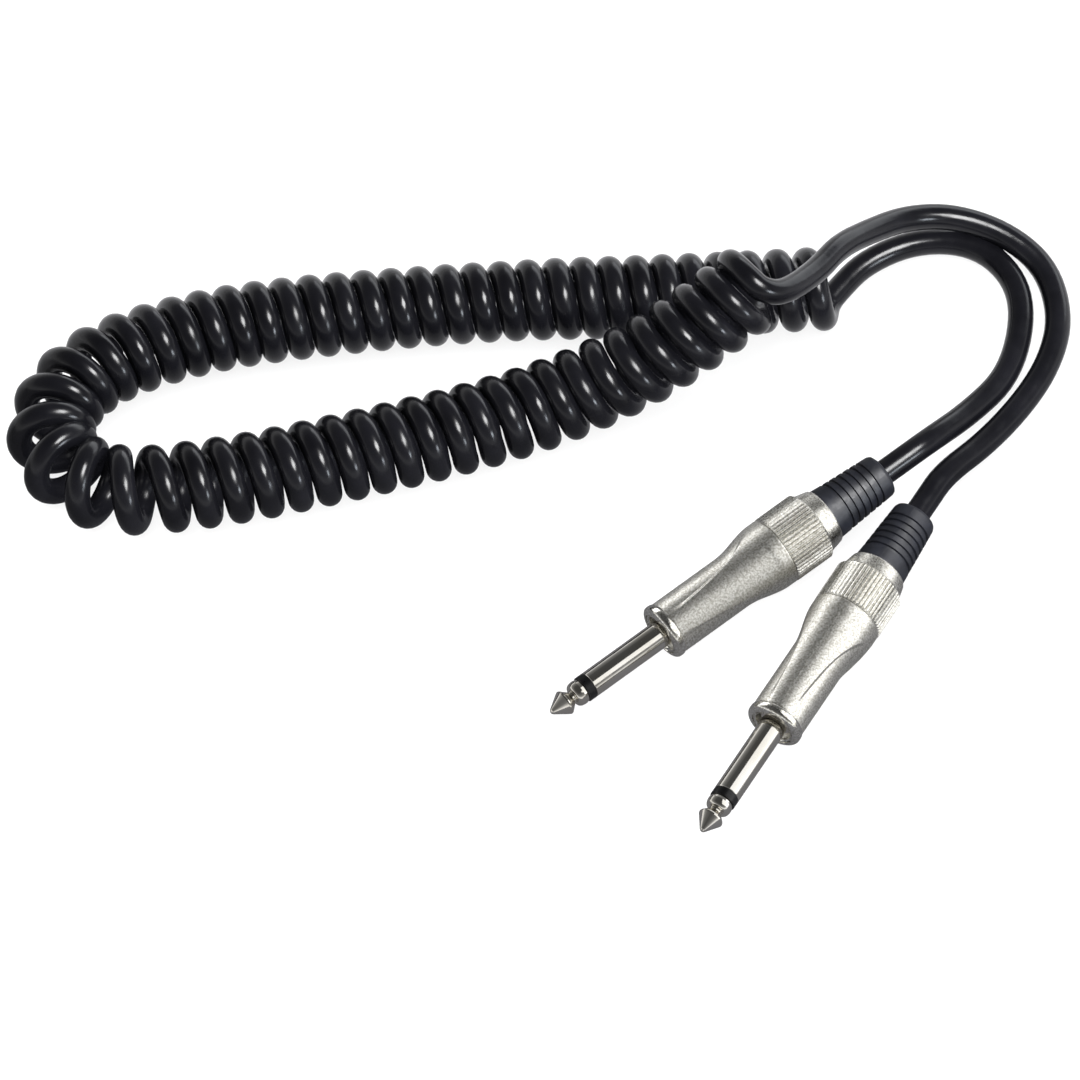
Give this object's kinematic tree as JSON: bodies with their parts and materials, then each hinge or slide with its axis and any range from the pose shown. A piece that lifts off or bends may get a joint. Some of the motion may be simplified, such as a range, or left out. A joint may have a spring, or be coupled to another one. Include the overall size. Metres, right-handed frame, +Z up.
{
  "type": "instrument cable",
  "caption": "Coiled instrument cable with a straight quarter-inch mono plug on each end, folded in a hairpin and laid flat.",
  "frame": {"origin": "on the surface that the cable lies on, below the middle of the two plugs' outline", "axes": "+Z up; +X along the folded curly section towards its open end; +Y away from the plugs' tips"},
  "size_m": [0.2446, 0.1695, 0.039],
  "materials": {
    "contact_nickel": "polished nickel plate",
    "satin_nickel": "satin pearl-nickel plate on a die casting",
    "tag_brass": "tinned brass sheet",
    "copper_braid": "twisted bare copper",
    "black_plastic": "moulded",
    "white_plastic": "moulded",
    "liner_plastic": "thin translucent tube",
    "boot_rubber": "matt moulded rubber",
    "cable_jacket": "glossy black polyurethane"
  },
  "bodies": {
    "cable": {"plug_a_tip_contact": "contact_nickel", "plug_a_tip_insulator": "black_plastic", "plug_a_rod_insulator": "white_plastic", "plug_a_sleeve_contact": "contact_nickel", "plug_a_base_collar": "contact_nickel", "plug_a_rear_washer": "black_plastic", "plug_a_ground_lug": "tag_brass", "plug_a_tip_lug": "tag_brass", "plug_a_cable_stub": "cable_jacket", "plug_a_core_wire": "white_plastic", "plug_a_shield_tail": "copper_braid", "plug_a_handle": "satin_nickel", "plug_a_liner": "liner_plastic", "plug_a_chuck": "black_plastic", "plug_b_tip_contact": "contact_nickel", "plug_b_tip_insulator": "black_plastic", "plug_b_rod_insulator": "white_plastic", "plug_b_sleeve_contact": "contact_nickel", "plug_b_base_collar": "contact_nickel", "plug_b_rear_washer": "black_plastic", "plug_b_ground_lug": "tag_brass", "plug_b_tip_lug": "tag_brass", "plug_b_cable_stub": "cable_jacket", "plug_b_core_wire": "white_plastic", "plug_b_shield_tail": "copper_braid", "plug_b_handle": "satin_nickel", "plug_b_liner": "liner_plastic", "plug_b_chuck": "black_plastic", "curly_cable": "cable_jacket", "lead_a": "cable_jacket", "lead_b": "cable_jacket"},
    "cap_a": {"plug_a_screw_cap": "satin_nickel"},
    "boot_a": {"plug_a_boot": "boot_rubber"},
    "cap_b": {"plug_b_screw_cap": "satin_nickel"},
    "boot_b": {"plug_b_boot": "boot_rubber"}
  },
  "joints": [
    {"name": "boot_a_slide", "type": "slide", "parent": "cable", "child": "boot_a", "axis": [0.7803, 0.6229, 0.0554], "range_m": [0, 0.005]},
    {"name": "cap_a_screw", "type": "hinge", "parent": "boot_a", "child": "cap_a", "pos_m": [0.01084, 0.02841, 0.00868], "axis": [0.7803, 0.6229, 0.0554], "range_deg": [0, 1440]},
    {"name": "boot_b_slide", "type": "slide", "parent": "cable", "child": "boot_b", "axis": [0.5045, 0.8634, 0], "range_m": [0, 0.005]},
    {"name": "cap_b_screw", "type": "hinge", "parent": "boot_b", "child": "cap_b", "pos_m": [0.02598, 0.01135, 0.0085], "axis": [0.5045, 0.8634, 0], "range_deg": [0, 1440]}
  ],
  "couplings": [
    {"joint": "boot_a_slide", "follows": "cap_a_screw", "m_per_rad": 0.00019894},
    {"joint": "boot_b_slide", "follows": "cap_b_screw", "m_per_rad": 0.00019894}
  ]
}
